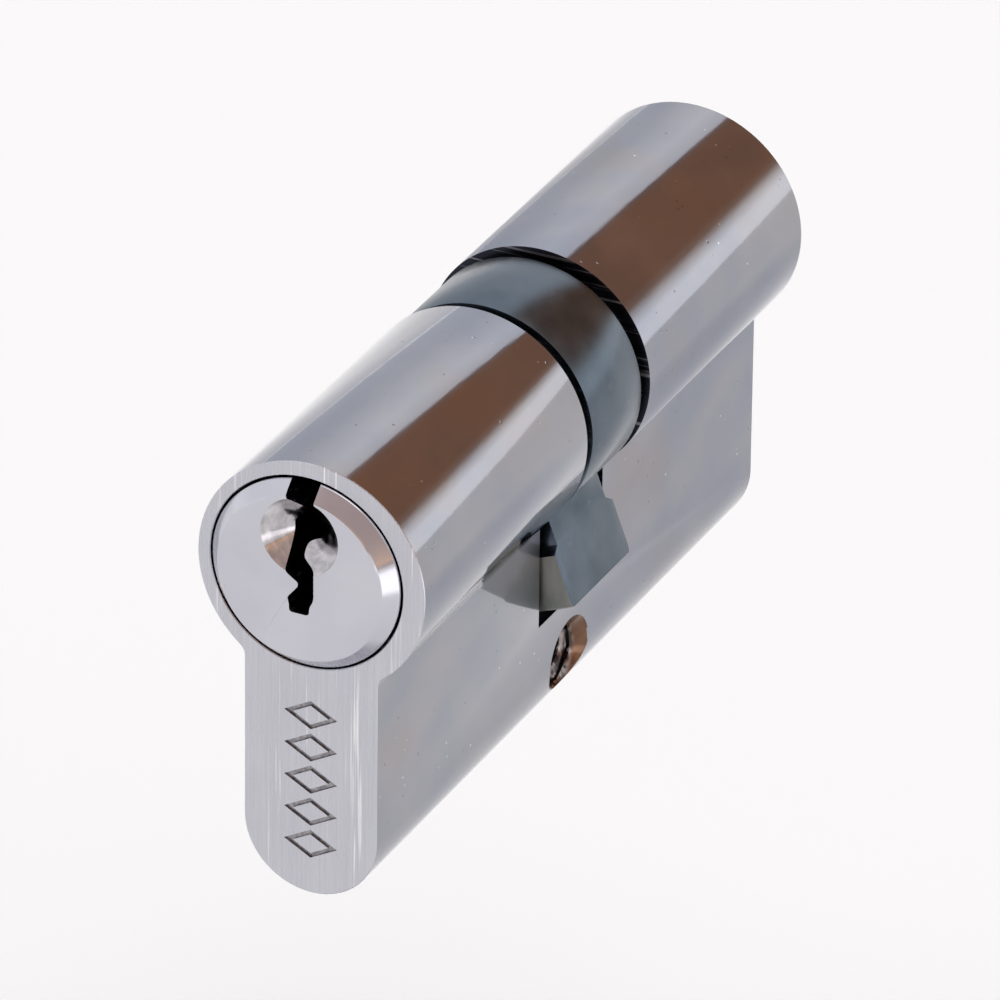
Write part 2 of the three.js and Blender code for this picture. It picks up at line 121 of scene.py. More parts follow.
# Clutch
DRIVER_HALF = 1.5
DRIVER_R = 5.1
DRIVER_LENGTH = 3.35
DRIVER_SLOT = 3.6
DRIVER_GAP = 0.05
DRIVER_EDGE = 0.08
DRIVER_FACES = (("outer", 0.85, -1), ("inner", 0.95, 1))  # y of the face to the spring, way it runs
POCKET_R = 1.3
POCKET_DEPTH = 1.4
CLUTCH_WIRE = 0.14
CLUTCH_TURNS = 4

# Pins and their springs
PIN_PLACES = (24.4, 20.5, 16.6, 12.7, 8.8)
CHAMBER_R = 1.5
CHAMBER_RISE = 1.5  # how far a chamber's cut runs into the bore
PIN_WIRE = 0.16
PIN_TURNS = 6
CLOSED_TURNS = 0.75  # at each end of a spring

# Fixing screw's hole
SCREW_Z = -20.0
SCREW_R = 2.1
SCREW_THREAD = 0.36
SCREW_PITCH = 0.8
SCREW_MOUTH_R = 3.1

# Ornament
ORNAMENT_COUNT = 5
ORNAMENT_TOP = -9.6
ORNAMENT_PITCH = 2.5
ORNAMENT_HALF = 2.0
ORNAMENT_LINE = 0.32
ORNAMENT_DEPTH = 0.15

FINE = 160  # sides of a full round
SMALL = 48  # sides of a small hole
BEYOND = 1.0  # how far a cut runs past a face
ORIGIN = (0.0, 0.0, 0.0)
AXIS = (BORE_X, 0.0, BORE_Z)


# ---- Meshes ----

def new_object(name, mesh):
    obj = bpy.data.objects.new(name, mesh)
    bpy.context.scene.collection.objects.link(obj)
    return obj


def from_bmesh(name, bm):
    bmesh.ops.recalc_face_normals(bm, faces=bm.faces[:])
    mesh = bpy.data.meshes.new(name)
    bm.to_mesh(mesh)
    bm.free()
    return new_object(name, mesh)


def point(x, y, z, offset=ORIGIN):
    return Vector(((x + offset[0]) * MM, (y + offset[1]) * MM, (z + offset[2]) * MM))


def arc(cx, cz, radius, start, end, sides=FINE):
    """Points along an arc, both ends included; angles from +X towards +Z."""
    steps = max(2, round(abs(end - start) / 360.0 * sides))
    angles = (math.radians(start + (end - start) * i / steps) for i in range(steps + 1))
    return [(cx + radius * math.cos(a), cz + radius * math.sin(a)) for a in angles]


def join_rings(bm, rings):
    """Faces between rings of corners, and one on each end."""
    for low, high in zip(rings, rings[1:]):
        for i in range(len(low)):
            j = (i + 1) % len(low)
            bm.faces.new((low[i], low[j], high[j], high[i]))
    bm.faces.new(rings[0])
    bm.faces.new(rings[-1])


def loft(name, sections, offset=ORIGIN):
    """A closed solid through outlines that stand one behind the other: [(y, [(x, z), ...]), ...]."""
    bm = bmesh.new()
    rings = [[bm.verts.new(point(x, y, z, offset)) for x, z in outline] for y, outline in sections]
    join_rings(bm, rings)
    return from_bmesh(name, bm)


def prism(name, outline, y0, y1, offset=ORIGIN):
    return loft(name, [(y0, outline), (y1, outline)], offset)


def turned(name, profile, axis="Y", offset=ORIGIN, sides=FINE):
    """A round piece from [(radius, distance along the axis), ...], which starts and ends on the axis."""
    bm = bmesh.new()
    rows = []
    for radius, t in profile:
        row = []
        for i in range(sides if radius > 0 else 1):
            a = 2 * math.pi * i / sides
            u, v = radius * math.cos(a), radius * math.sin(a)
            x, y, z = (u, t, v) if axis == "Y" else (u, v, t)
            row.append(bm.verts.new(point(x, y, z, offset)))
        rows.append(row)
    for low, high in zip(rows, rows[1:]):
        for i in range(sides):
            j = (i + 1) % sides
            ring = [low[i % len(low)], low[j % len(low)], high[j % len(high)], high[i % len(high)]]
            corners = list(dict.fromkeys(ring))
            if len(corners) > 2:
                bm.faces.new(corners)
    return from_bmesh(name, bm)


def hollow_prism(name, outer, inner, y0, y1):
    """The band between two outlines with the same number of corners."""
    bm = bmesh.new()

    def loop(outline, y):
        return [bm.verts.new(point(x, y, z)) for x, z in outline]

    outer_low, outer_high = loop(outer, y0), loop(outer, y1)
    inner_low, inner_high = loop(inner, y0), loop(inner, y1)
    for i in range(len(outer)):
        j = (i + 1) % len(outer)
        bm.faces.new((outer_low[i], outer_low[j], outer_high[j], outer_high[i]))
        bm.faces.new((inner_low[j], inner_low[i], inner_high[i], inner_high[j]))
        bm.faces.new((outer_low[j], outer_low[i], inner_low[i], inner_low[j]))
        bm.faces.new((outer_high[i], outer_high[j], inner_high[j], inner_high[i]))
    return from_bmesh(name, bm)


def boolean(obj, cutters, operation="DIFFERENCE"):
    """Cuts or joins with other objects, which are used up."""
    for cutter in cutters:
        modifier = obj.modifiers.new("cut", "BOOLEAN")
        modifier.operation = operation
        modifier.solver = "EXACT"
        modifier.object = cutter
    graph = bpy.context.evaluated_depsgraph_get()
    graph.update()
    mesh = bpy.data.meshes.new_from_object(obj.evaluated_get(graph))
    obj.modifiers.clear()
    obj.data = mesh
    for cutter in cutters:
        bpy.data.objects.remove(cutter, do_unlink=True)
    return obj


def break_edges(obj, width, test):
    """Bevels the sharp edges whose two ends pass the test, which takes a place in millimetres."""
    bm = bmesh.new()
    bm.from_mesh(obj.data)
    bmesh.ops.remove_doubles(bm, verts=bm.verts[:], dist=2e-7)
    edges = []
    for edge in bm.edges:
        if len(edge.link_faces) != 2 or edge.calc_face_angle(0.0) < math.radians(28):
            continue
        if all(test(*(v.co / MM)) for v in edge.verts):
            edges.append(edge)
    bmesh.ops.bevel(
        bm, geom=edges, offset=width * MM, offset_type="OFFSET", segments=2,
        profile=0.5, affect="EDGES", clamp_overlap=True, loop_slide=True,
    )
    bm.to_mesh(obj.data)
    bm.free()
    return obj


def smooth(obj, angle=25.0):
    """Smooth shading, but for edges sharper than the angle."""
    for face in obj.data.polygons:
        face.use_smooth = True
    obj.data.set_sharp_from_angle(angle=math.radians(angle))
    return obj


def paint(obj, materials, choose=None):
    """Gives the object its materials, and each face the one that choose(centre in mm, normal) names."""
    obj.data.materials.clear()
    for material in materials:
        obj.data.materials.append(material)
    if choose:
        for face in obj.data.polygons:
            face.material_index = materials.index(choose(face.center / MM, face.normal))
    return obj


def place(obj, body, slot, *nodes):
    """The piece rides on a body and stands for the CAD nodes named; the slot argument is not used."""
    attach(obj, body)
    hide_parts(*nodes)
    return obj


# ---- Materials ----

BRIGHTEST = 2.0  # a colour ramp holds 0 to 1, so the room's light is stored as a share of this


class Tree:
    """A node tree, built from short calls."""

    def __init__(self, tree):
        self.tree = tree

    def add(self, kind):
        return self.tree.nodes.new(kind)

    def link(self, value, socket):
        if isinstance(value, bpy.types.NodeSocket):
            self.tree.links.new(value, socket)
        else:
            socket.default_value = value

    def apart(self, vector):
        """The three parts of a vector."""
        node = self.add("ShaderNodeSeparateXYZ")
        self.link(vector, node.inputs[0])
        return tuple(node.outputs)

    def span(self, value, low, high, to_low=0.0, to_high=1.0):
        """Maps low..high to to_low..to_high, clamped."""
        node = self.add("ShaderNodeMapRange")
        self.link(value, node.inputs["Value"])
        for name, number in zip(("From Min", "From Max", "To Min", "To Max"), (low, high, to_low, to_high)):
            self.link(number, node.inputs[name])
        return node.outputs["Result"]

    def math(self, operation, a, b=0.0):
        node = self.add("ShaderNodeMath")
        node.operation = operation
        self.link(a, node.inputs[0])
        self.link(b, node.inputs[1])
        return node.outputs[0]

    def mix(self, factor, a, b):
        node = self.add("ShaderNodeMix")
        node.data_type = "RGBA"
        self.link(factor, node.inputs["Factor"])
        for value, socket in ((a, node.inputs["A"]), (b, node.inputs["B"])):
            self.link(value if isinstance(value, bpy.types.NodeSocket) else (*value, 1.0), socket)
        return node.outputs["Result"]

    def ramp(self, value, stops):
        """Colours along a value: [(value, colour), ...]."""
        node = self.add("ShaderNodeValToRGB")
        elements = node.color_ramp.elements
        while len(elements) < len(stops):
            elements.new(0.5)
        for element, (position, color) in zip(elements, stops):
            element.position = position
            element.color = (*(part / BRIGHTEST for part in color), 1.0)
        self.link(value, node.inputs["Fac"])
        return node.outputs["Color"]


class Nodes(Tree):
    """A material's node tree."""

    def __init__(self, name):
        self.material = bpy.data.materials.new(name)
        self.material.use_nodes = True
        super().__init__(self.material.node_tree)
        self.shader = self.tree.nodes["Principled BSDF"]
        self.coords = self.add("ShaderNodeTexCoord").outputs["Object"]

    def stretch(self, x, y, z, turn=(0.0, 0.0, 0.0), shift=ORIGIN):
        """Object coordinates, multiplied so that a feature of 1 unit is 1/x by 1/y by 1/z metres."""
        node = self.add("ShaderNodeMapping")
        node.inputs["Location"].default_value = shift
        node.inputs["Rotation"].default_value = [math.radians(a) for a in turn]
        node.inputs["Scale"].default_value = (x, y, z)
        self.link(self.coords, node.inputs["Vector"])
        return node.outputs["Vector"]

    def noise(self, vector, detail=2.0):
        node = self.add("ShaderNodeTexNoise")
        self.link(vector, node.inputs["Vector"])
        node.inputs["Scale"].default_value = 1.0
        node.inputs["Detail"].default_value = detail
        node.inputs["Roughness"].default_value = 0.5
        return node.outputs["Fac"]

    def cells(self, vector):
        """Distance to the nearest of many scattered points."""
        node = self.add("ShaderNodeTexVoronoi")
        self.link(vector, node.inputs["Vector"])
        node.inputs["Scale"].default_value = 1.0
        return node.outputs["Distance"]

    def spot(self, vector):
        """1 where the vector is nought, down to 0 where it is 1 long."""
        node = self.add("ShaderNodeTexGradient")
        node.gradient_type = "SPHERICAL"
        self.link(vector, node.inputs["Vector"])
        return node.outputs["Fac"]

    def bump(self, height, distance, after=None):
        node = self.add("ShaderNodeBump")
        node.inputs["Strength"].default_value = 1.0
        node.inputs["Distance"].default_value = distance
        self.link(height, node.inputs["Height"])
        if after is not None:
            self.link(after, node.inputs["Normal"])
        return node.outputs["Normal"]

    def skin(self, ior, roughness):
        """A thin mirror layer over the metal."""
        self.shader.inputs["Coat Weight"].default_value = 1.0
        self.shader.inputs["Coat IOR"].default_value = ior
        self.shader.inputs["Coat Roughness"].default_value = roughness

    def finish(self, color, roughness, normal=None, metallic=1.0):
        self.link(color, self.shader.inputs["Base Color"])
        self.link(roughness, self.shader.inputs["Roughness"])
        self.shader.inputs["Metallic"].default_value = metallic
        if normal is not None:
            self.link(normal, self.shader.inputs["Normal"])
            self.link(normal, self.shader.inputs["Coat Normal"])
        return self.material


def bar_nickel(name, low, high, haze_low, haze_high, line_height):
    """Bright plated bar: waves, drawing lines along Y, pits, specks and faint stains under a mirror skin."""
    n = Nodes(name)
    stain = n.noise(n.stretch(170, 110, 170), detail=3.0)
    clean = n.mix(n.span(stain, 0.35, 0.65), low, high)
    warm = n.noise(n.stretch(120, 80, 120), detail=2.0)
    clean = n.mix(n.span(warm, 0.55, 0.72, 0.0, 0.6), clean, (0.335, 0.295, 0.275))
    pits = n.cells(n.stretch(900, 900, 900))
    pit_here = n.noise(n.stretch(420, 420, 420), detail=1.0)
    pit = n.math("MULTIPLY", n.span(pits, 0.12, 0.03), n.span(pit_here, 0.50, 0.56))
    color = n.mix(n.math("MULTIPLY", pit, 0.75), clean, (0.10, 0.09, 0.09))
    specks = n.cells(n.stretch(1000, 1000, 1000))
    speck_here = n.noise(n.stretch(310, 310, 310), detail=1.0)
    speck = n.math("MULTIPLY", n.span(specks, 0.10, 0.05), n.span(speck_here, 0.60, 0.64))
    color = n.mix(speck, color, (0.8, 0.78, 0.76))
    lines = n.noise(n.stretch(5200, 60, 5200), detail=2.0)
    waves = n.noise(n.stretch(170, 60, 170), detail=1.0)
    ripple = n.noise(n.stretch(800, 300, 800), detail=3.0)
    normal = n.bump(waves, 0.00002)
    normal = n.bump(ripple, 0.000005, normal)
    normal = n.bump(lines, line_height, normal)
    normal = n.bump(pit, -0.00001, normal)
    n.skin(1.6, 0.04)
    # A dull tint keeps the metal from flaring white at its edges.
    n.shader.inputs["Specular Tint"].default_value = (0.42, 0.44, 0.50, 1.0)
    return n.finish(color, n.span(stain, 0.3, 0.7, haze_low, haze_high), normal)


def brushed_nickel():
    """Sawn and brushed end face: lines that run up and down, some of them bright."""
    n = Nodes("brushed_nickel")
    fine = n.noise(n.stretch(6500, 10, 130), detail=3.0)
    coarse = n.noise(n.stretch(1700, 10, 45), detail=2.0)
    streak = n.span(n.math("MULTIPLY", fine, coarse), 0.34, 0.44)
    color = n.mix(n.span(fine, 0.3, 0.7), (0.51, 0.515, 0.56), (0.57, 0.575, 0.615))
    color = n.mix(streak, color, (0.85, 0.85, 0.86))
    patch = n.noise(n.stretch(260, 10, 160), detail=2.0)
    color = n.mix(n.span(patch, 0.4, 0.7, 0.0, 0.35), color, (0.47, 0.475, 0.52))
    normal = n.bump(coarse, 0.0000015)
    normal = n.bump(fine, 0.0000008, normal)
    rough = n.span(fine, 0.3, 0.7, 0.22, 0.36)
    return n.finish(color, rough, normal)


def polished_nickel():
    """The plugs: smooth plate with faint haze, small pits and hairline scratches."""
    n = Nodes("polished_nickel_plate")
    haze = n.noise(n.stretch(240, 240, 240), detail=3.0)
    color = n.mix(n.span(haze, 0.35, 0.65), (0.54, 0.545, 0.60), (0.575, 0.58, 0.625))
    pits = n.cells(n.stretch(700, 700, 700))
    here = n.noise(n.stretch(300, 300, 300), detail=1.0)
    pit = n.math("MULTIPLY", n.span(pits, 0.09, 0.02), n.span(here, 0.6, 0.66))
    color = n.mix(n.math("MULTIPLY", pit, 0.6), color, (0.16, 0.15, 0.15))
    hair = n.noise(n.stretch(7000, 300, 120, turn=(0, 24, 0)), detail=1.0)
    waves = n.noise(n.stretch(260, 260, 260), detail=1.0)
    normal = n.bump(waves, 0.000012)
    normal = n.bump(n.span(hair, 0.68, 0.74), 0.0000006, normal)
    rough = n.span(haze, 0.3, 0.7, 0.10, 0.17)
    return n.finish(color, rough, normal)


def milled_nickel_painted_shade():
    """Milled walls of the slot, bores and keyway: nearly black, which is painted shade for these hollows,
    with shiny level tool marks.
    """
    n = Nodes("milled_nickel_painted_shade")
    marks = n.noise(n.stretch(70, 900, 3600), detail=2.0)
    # The nearly black base colour is painted shade for the hollows.
    color = n.mix(n.span(marks, 0.58, 0.68), (0.022, 0.024, 0.032), (0.24, 0.23, 0.25))
    normal = n.bump(marks, 0.00001)
    return n.finish(color, n.span(marks, 0.3, 0.7, 0.25, 0.4), normal)


def drilled_nickel():
    """The key entry's cone: plated over fine turning marks."""
    n = Nodes("drilled_nickel")
    tone = n.noise(n.stretch(900, 2200, 900), detail=3.0)
    color = n.mix(n.span(tone, 0.35, 0.65), (0.40, 0.385, 0.40), (0.60, 0.585, 0.60))
    return n.finish(color, n.span(tone, 0.3, 0.7, 0.08, 0.18), n.bump(tone, 0.000006))


def hole_brass_painted_shade():
    """Bare cut metal in the tapped hole, darkened as painted shade in the hole: dark thread with lighter
    marks painted as highlights on the crests, warmer at the mouth.
    """
    n = Nodes("hole_brass_painted_shade")
    tone = n.noise(n.stretch(500, 500, 500), detail=2.0)
    # Both brass colour ranges are darkened as painted shade in the hole; the thread's lighter marks are
    # painted highlights.
    mouth = n.mix(n.span(tone, 0.35, 0.65), (0.12, 0.065, 0.04), (0.21, 0.12, 0.08))
    marks = n.noise(n.stretch(3000, 3000, 900), detail=2.0)
    thread = n.mix(n.span(marks, 0.4, 0.65), (0.06, 0.052, 0.055), (0.36, 0.32, 0.30))
    across, _, _ = n.apart(n.coords)
    color = n.mix(n.span(n.math("ABSOLUTE", across), 0.0040, 0.0043), thread, mouth)
    return n.finish(color, n.span(marks, 0.3, 0.7, 0.12, 0.25), n.bump(marks, 0.000002))


def groove_nickel():
    """Floor of the ornament's lines."""
    n = Nodes("groove_nickel")
    marks = n.noise(n.stretch(4000, 4000, 4000), detail=2.0)
    color = n.mix(n.span(marks, 0.35, 0.65), (0.20, 0.195, 0.21), (0.38, 0.375, 0.39))
    return n.finish(color, n.span(marks, 0.3, 0.7, 0.3, 0.45), n.bump(marks, 0.000004))


def sintered_steel():
    """The cam: satin blue-grey oxide with a fine grain, soft blotches and worn spots."""
    n = Nodes("sintered_steel_oxide")
    blotch = n.noise(n.stretch(330, 330, 330), detail=3.0)
    color = n.mix(n.span(blotch, 0.35, 0.65), (0.090, 0.115, 0.142), (0.118, 0.146, 0.175))
    worn = n.noise(n.stretch(1500, 700, 1500), detail=3.0)
    color = n.mix(n.span(worn, 0.66, 0.76, 0.0, 0.6), color, (0.16, 0.19, 0.21))
    grain = n.noise(n.stretch(9000, 9000, 9000), detail=2.0)
    normal = n.bump(n.noise(n.stretch(500, 500, 500)), 0.00001)
    normal = n.bump(grain, 0.0000018, normal)
    return n.finish(color, n.span(blotch, 0.3, 0.7, 0.20, 0.28), normal)


def lit_lever_steel():
    """The cam's broad end faces beyond the ring, painted lighter than the oxide as painted light where they
    stand out of the slot.
    """
    n = Nodes("lit_sintered_steel")
    tone = n.noise(n.stretch(700, 700, 260), detail=3.0)
    # Lighter than the oxide: painted light on the faces out of the slot.
    color = n.mix(n.span(tone, 0.35, 0.65), (0.20, 0.215, 0.20), (0.30, 0.305, 0.285))
    grain = n.noise(n.stretch(9000, 9000, 9000), detail=2.0)
    return n.finish(color, n.span(tone, 0.3, 0.7, 0.42, 0.55), n.bump(grain, 0.000002))


def plain_metal(name, dark, light, low, high, lines=(3000, 3000, 200)):
    """Turned or drawn metal for the pieces inside."""
    n = Nodes(name)
    tone = n.noise(n.stretch(600, 600, 600), detail=2.0)
    marks = n.noise(n.stretch(*lines), detail=2.0)
    color = n.mix(n.span(tone, 0.35, 0.65), dark, light)
    return n.finish(color, n.span(marks, 0.3, 0.7, low, high), n.bump(marks, 0.0000015))


TURNED_LINES = (200, 200, 6000)

rolled = bar_nickel("drawn_round_nickel", (0.26, 0.275, 0.325), (0.335, 0.33, 0.35), 0.07, 0.13, 0.0000004)
web_plate = bar_nickel("drawn_web_nickel", (0.285, 0.30, 0.345), (0.365, 0.355, 0.37), 0.34, 0.44, 0.0000003)
brushed = brushed_nickel()
polished = polished_nickel()
milled_in_painted_shade = milled_nickel_painted_shade()
hole_brass_in_shade = hole_brass_painted_shade()
groove = groove_nickel()
oxide = sintered_steel()
lit_lever_face = lit_lever_steel()
drilled = drilled_nickel()
spring_wire = plain_metal("spring_wire", (0.42, 0.42, 0.43), (0.55, 0.55, 0.56), 0.15, 0.28)
ground_steel = plain_metal("ground_steel", (0.40, 0.41, 0.42), (0.52, 0.53, 0.54), 0.2, 0.35)
turned_brass = plain_metal("turned_brass", (0.70, 0.50, 0.20), (0.80, 0.62, 0.30), 0.15, 0.3, TURNED_LINES)
turned_silver = plain_metal("turned_silver", (0.52, 0.50, 0.44), (0.62, 0.60, 0.54), 0.15, 0.3, TURNED_LINES)


# ---- Body ----

def profile_outline(inset):
    """The whole profile, moved in by a distance."""
    radius, half, hollow = ROUND_R - inset, WEB_HALF - inset, ROOT_R + inset
    root_x = WEB_HALF + ROOT_R
    root_z = -math.sqrt((ROUND_R + ROOT_R) ** 2 - root_x ** 2)
    join = math.degrees(math.atan2(-root_z, root_x))
    right = arc(root_x, root_z, hollow, 180, 180 - join)
    left = arc(-root_x, root_z, hollow, join, 0)
    foot = arc(0, FOOT_Z + WEB_HALF, half, 180, 360)
    return right[:-1] + arc(0, 0, radius, -join, 180 + join) + left[1:] + foot


def threaded_hole():
    """The tapped hole, made as a solid thread with flared mouths, to be cut from the body."""
    sides, rows_per_turn = 40, 6
    reach = WEB_HALF + 0.6
    rows = round(2 * reach / SCREW_PITCH * rows_per_turn)
    bm = bmesh.new()
    rings = []
    for r in range(rows + 1):
        x = -reach + 2 * reach * r / rows
        flare = max(0.0, abs(x) - (WEB_HALF - (SCREW_MOUTH_R - SCREW_R)))
        ring = []
        for s in range(sides):
            turn = s / sides
            phase = (x / SCREW_PITCH - turn) % 1.0
            crest = 1.0 - abs(2.0 * phase - 1.0)
            radius = SCREW_R + max(SCREW_THREAD * crest, flare)
            a = 2 * math.pi * turn
            ring.append(bm.verts.new(point(x, radius * math.cos(a), SCREW_Z + radius * math.sin(a))))
        rings.append(ring)
    join_rings(bm, rings)
    return from_bmesh("thread", bm)


def diamond(half_width, half_height, z):
    return [(half_width, z), (0, z + half_height), (-half_width, z), (0, z - half_height)]


def ornament_cutters():
    """Plain diamond outlines, one under the other."""
    cutters = []
    half_height = (ORNAMENT_PITCH - ORNAMENT_LINE) / 2
    inset = ORNAMENT_LINE * math.hypot(ORNAMENT_HALF, half_height)
    for i in range(ORNAMENT_COUNT):
        z = ORNAMENT_TOP - half_height - ORNAMENT_PITCH * i
        outer = diamond(ORNAMENT_HALF, half_height, z)
        inner = diamond(ORNAMENT_HALF - inset / half_height, half_height - inset / ORNAMENT_HALF, z)
        cutters.append(hollow_prism("line", outer, inner, -LENGTH - BEYOND / 2, -LENGTH + ORNAMENT_DEPTH))
    return cutters


def bore_cutter():
    """The bore, wider for the plugs' heads at both ends."""
    head, flared = HEAD_R + HEAD_GAP, HEAD_R + HEAD_GAP + BORE_FLARE
    seat = LENGTH - HEAD_SEAT - 0.05
    end = LENGTH + BEYOND
    half = [
        (0, end), (flared, end), (flared, LENGTH), (head, LENGTH - BORE_FLARE),
        (head, seat), (BORE_R, seat),
    ]
    return turned("bore", [(r, -y) for r, y in half] + half[::-1], offset=AXIS)


def body():
    ends = [(-LENGTH, EDGE), (-LENGTH + EDGE, 0.0), (LENGTH - EDGE, 0.0), (LENGTH, EDGE)]
    obj = loft("body", [(y, profile_outline(inset)) for y, inset in ends])
    slot = [(0, -SLOT_HALF), (SLOT_R, -SLOT_HALF), (SLOT_R, SLOT_HALF), (0, SLOT_HALF)]
    boolean(obj, [turned("slot", slot, offset=AXIS)])

    def on_slot_rim(x, y, z):
        on_round = abs(math.hypot(x, z) - ROUND_R) < 0.02
        on_web = abs(abs(x) - WEB_HALF) < 0.02 and z < -7.3
        on_wall = abs(abs(y) - SLOT_HALF) < 0.02
        on_floor = abs(math.hypot(x - BORE_X, z - BORE_Z) - SLOT_R) < 0.05 and abs(y) < SLOT_HALF + 0.01
        return on_wall and (on_round or on_web) or on_floor and on_web

    break_edges(obj, SLOT_EDGE, on_slot_rim)
    chamber_foot, chamber_top = FOOT_Z - BEYOND, -BORE_R + CHAMBER_RISE
    chamber = [(0, chamber_foot), (CHAMBER_R, chamber_foot), (CHAMBER_R, chamber_top), (0, chamber_top)]
    cutters = [bore_cutter()]
    for side in (-1, 1):
        for place_y in PIN_PLACES:
            cutters.append(turned("chamber", chamber, "Z", (BORE_X, side * place_y, 0), SMALL))
    cutters.append(threaded_hole())
    cutters += ornament_cutters()
    boolean(obj, cutters)
    smooth(obj)

    ornament_foot = ORNAMENT_TOP - ORNAMENT_COUNT * ORNAMENT_PITCH

    # The numbers below are places and margins in millimetres, and shares of a normal.
    def finish_of(c, n):
        from_bore = math.hypot(c.x - BORE_X, c.z - BORE_Z)
        from_screw = math.hypot(c.y, c.z - SCREW_Z)
        near_ornament = abs(c.x) < ORNAMENT_HALF + 0.1 and ornament_foot - 0.4 < c.z < ORNAMENT_TOP + 0.6
        if near_ornament and -LENGTH + 0.005 < c.y < -LENGTH + 0.3:
            return groove
        if abs(n.y) > 0.6 and abs(c.y) > LENGTH - 0.1:
            return brushed
        if abs(n.x) > 0.95 and abs(c.x) > WEB_HALF - 0.05 and c.z < -7.2:
            return web_plate
        # The tapped hole's walls take the cut brass darkened as painted shade.
        if from_screw < SCREW_MOUTH_R + 0.1 and abs(c.x) < WEB_HALF - 0.03 and abs(n.x) < 0.95:
            return hole_brass_in_shade
        in_slot = abs(c.y) < SLOT_HALF + 0.01 and c.z > FOOT_Z + 3 and from_bore < SLOT_R + 0.02
        in_bore = from_bore < HEAD_R + HEAD_GAP + 0.02
        in_bar = math.hypot(c.x, c.z) < ROUND_R - 0.2 and abs(n.y) < 0.5 and c.z > -6.5
        in_chamber = abs(c.x - BORE_X) < CHAMBER_R + 0.1 and abs(n.y) < 0.999 and FOOT_Z + 0.5 < c.z < -6
        # Walls of the slot, bore, bar and chambers take the nearly black milled finish: painted shade in
        # these hollows.
        if in_slot or in_bore or in_bar or in_chamber:
            return milled_in_painted_shade
        return web_plate if c.z < -6.6 else rolled

    paint(obj, [rolled, brushed, milled_in_painted_shade, hole_brass_in_shade, groove, web_plate], finish_of)
    return place(obj, "cylinder_body", "nickel", "cylinder_body")


# ---- Plugs ----

def rounded(points, radius, steps=3):
    """Rounds the corners of a closed outline by a radius, as far as its sides allow."""
    out = []
    count = len(points)
    for i, p in enumerate(points):
        corner = Vector(p)
        to_a, to_b = Vector(points[i - 1]) - corner, Vector(points[(i + 1) % count]) - corner
        cut = min(radius, to_a.length * 0.45, to_b.length * 0.45)
        start, end = corner + to_a.normalized() * cut, corner + to_b.normalized() * cut
        for s in range(steps + 1):
            t = s / steps
            q = start * (1 - t) ** 2 + corner * 2 * t * (1 - t) + end * t * t
            out.append((q.x, q.y))
    return out


def keyway_outline():
    def wall(side):
        w, toe = side * KEYWAY_HALF, side * TOE_HALF
        points = [(toe, KEYWAY_FLOOR), (toe, (KEYWAY_FLOOR + TOE_TOP) / 2)]
        if side > 0:
            points.append((w, TOE_TOP))
        for _, z, height, tip, reach in sorted(ward for ward in WARDS if ward[0] == side):
            inner = w - side * reach
            foot = (w, z - height / 2) if z > 0 else (w + 0.17, z - height / 2 - 0.35)
            points += [foot, (inner, z - tip / 2), (inner, z + tip / 2), (w, z + height / 2)]
        return points + [(w, HEAD_R + BEYOND)]

    return rounded(wall(1) + wall(-1)[::-1], KEYWAY_ROUNDING)


def driver_outline(clearance):
    """A flat bar with round ends, as the clutch drivers and the holes for them have."""
    radius, half = DRIVER_R + clearance, DRIVER_HALF + clearance
    reach = math.degrees(math.acos(half / radius))
    return arc(0, 0, radius, reach, 180 - reach) + arc(0, 0, radius, 180 + reach, 360 - reach)


def turn_half(obj):
    """Turns a piece of the outer end round Z, about the bore, to the inner end."""
    pivot = Matrix.Translation(point(*AXIS))
    obj.data.transform(pivot @ Matrix.Rotation(math.pi, 4, "Z") @ pivot.inverted())
    return obj


